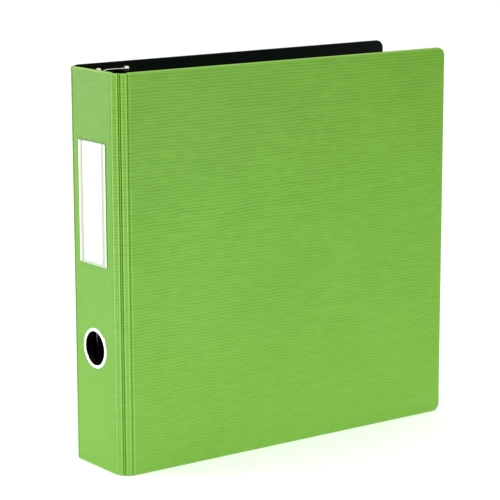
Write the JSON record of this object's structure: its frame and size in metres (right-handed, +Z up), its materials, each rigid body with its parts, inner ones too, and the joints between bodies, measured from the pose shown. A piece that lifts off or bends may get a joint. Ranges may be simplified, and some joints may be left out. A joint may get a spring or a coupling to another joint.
{
  "type": "stamp album",
  "caption": "Standing ring album: cloth-covered case with creased hinges, spine label pocket and metal-rimmed finger hole, and a D-ring mechanism riveted inside the back cover.",
  "frame": {"origin": "centre of the footprint, on the surface the album stands on", "axes": "+Z up, +X from the spine to the fore-edge, +Y from the front cover to the back cover"},
  "size_m": [0.3012, 0.0766, 0.292],
  "materials": {
    "cover_cloth": "linen-embossed book cloth, lime green, low sheen",
    "greyboard": "raw greyboard",
    "black_liner": "black liner paper, matt",
    "clear_film": "clear film, glossy",
    "label_card": "white card",
    "nickel_eyelet": "bright nickel plate",
    "nickel_steel": "bright nickel-plated steel"
  },
  "bodies": {
    "spine": {"spine_cloth": "cover_cloth", "spine_board": "greyboard", "spine_liner": "black_liner", "finger_hole_eyelet": "nickel_eyelet", "finger_hole_washer": "nickel_eyelet", "label_pocket_back_film": "clear_film", "label_pocket_front_film": "clear_film", "label_card": "label_card"},
    "front_spine_strip": {"front_hinge_spine_strip_cloth": "cover_cloth", "front_hinge_spine_strip_core": "greyboard", "front_hinge_spine_strip_liner": "black_liner"},
    "front_cover_strip": {"front_hinge_cover_strip_cloth": "cover_cloth", "front_hinge_cover_strip_core": "greyboard", "front_hinge_cover_strip_liner": "black_liner"},
    "front_cover": {"front_cover_cloth": "cover_cloth", "front_cover_board": "greyboard", "front_cover_liner": "black_liner"},
    "back_spine_strip": {"back_hinge_spine_strip_cloth": "cover_cloth", "back_hinge_spine_strip_core": "greyboard", "back_hinge_spine_strip_liner": "black_liner"},
    "back_cover_strip": {"back_hinge_cover_strip_cloth": "cover_cloth", "back_hinge_cover_strip_core": "greyboard", "back_hinge_cover_strip_liner": "black_liner"},
    "back_cover": {"back_cover_cloth": "cover_cloth", "back_cover_board": "greyboard", "back_cover_liner": "black_liner", "ring_housing": "nickel_steel", "mounting_rivets": "nickel_steel", "rivet_spacer_posts": "nickel_steel", "top_lever_pin": "nickel_steel", "bottom_lever_pin": "nickel_steel"},
    "spine_side_rings": {"spine_side_blade": "nickel_steel", "spine_side_ring_halves": "nickel_steel"},
    "page_side_rings": {"page_side_blade": "nickel_steel", "page_side_ring_halves": "nickel_steel"},
    "lever_top": {"top_lever": "nickel_steel"},
    "lever_bottom": {"bottom_lever": "nickel_steel"}
  },
  "joints": [
    {"name": "front_spine_crease", "type": "hinge", "parent": "spine", "child": "front_spine_strip", "pos_m": [-0.14963, -0.02614, 0.146], "axis": [0, 0, -1], "range_deg": [-0.25, 29.75]},
    {"name": "front_middle_crease", "type": "hinge", "parent": "front_spine_strip", "child": "front_cover_strip", "pos_m": [-0.14662, -0.03141, 0.146], "axis": [0, 0, -1], "range_deg": [-0.25, 29.75]},
    {"name": "front_cover_crease", "type": "hinge", "parent": "front_cover_strip", "child": "front_cover", "pos_m": [-0.14138, -0.0345, 0.146], "axis": [0, 0, -1], "range_deg": [-0.25, 29.75]},
    {"name": "back_spine_crease", "type": "hinge", "parent": "spine", "child": "back_spine_strip", "pos_m": [-0.14963, 0.02614, 0.146], "axis": [0, 0, 1], "range_deg": [-0.25, 29.75]},
    {"name": "back_middle_crease", "type": "hinge", "parent": "back_spine_strip", "child": "back_cover_strip", "pos_m": [-0.14662, 0.03141, 0.146], "axis": [0, 0, 1], "range_deg": [-0.25, 29.75]},
    {"name": "back_cover_crease", "type": "hinge", "parent": "back_cover_strip", "child": "back_cover", "pos_m": [-0.14138, 0.0345, 0.146], "axis": [0, 0, 1], "range_deg": [-0.25, 29.75]},
    {"name": "page_side_ring_hinge", "type": "hinge", "parent": "back_cover", "child": "page_side_rings", "pos_m": [-0.10756, 0.02894, 0.146], "axis": [0, 0, 1], "range_deg": [0, 15]},
    {"name": "spine_side_ring_hinge", "type": "hinge", "parent": "back_cover", "child": "spine_side_rings", "pos_m": [-0.12956, 0.02865, 0.146], "axis": [0, 0, -1], "range_deg": [0, 15]},
    {"name": "top_lever_hinge", "type": "hinge", "parent": "back_cover", "child": "lever_top", "pos_m": [-0.11853, 0.0268, 0.268], "axis": [-0.9999, -0.0131, 0], "range_deg": [0, 15]},
    {"name": "bottom_lever_hinge", "type": "hinge", "parent": "back_cover", "child": "lever_bottom", "pos_m": [-0.11853, 0.0268, 0.024], "axis": [0.9999, 0.0131, 0], "range_deg": [0, 15]}
  ],
  "couplings": [
    {"joint": "front_middle_crease", "follows": "front_spine_crease", "ratio": 1},
    {"joint": "front_cover_crease", "follows": "front_spine_crease", "ratio": 1},
    {"joint": "back_middle_crease", "follows": "back_spine_crease", "ratio": 1},
    {"joint": "back_cover_crease", "follows": "back_spine_crease", "ratio": 1},
    {"joint": "spine_side_ring_hinge", "follows": "page_side_ring_hinge", "ratio": 1},
    {"joint": "top_lever_hinge", "follows": "page_side_ring_hinge", "ratio": 1},
    {"joint": "bottom_lever_hinge", "follows": "page_side_ring_hinge", "ratio": 1}
  ]
}
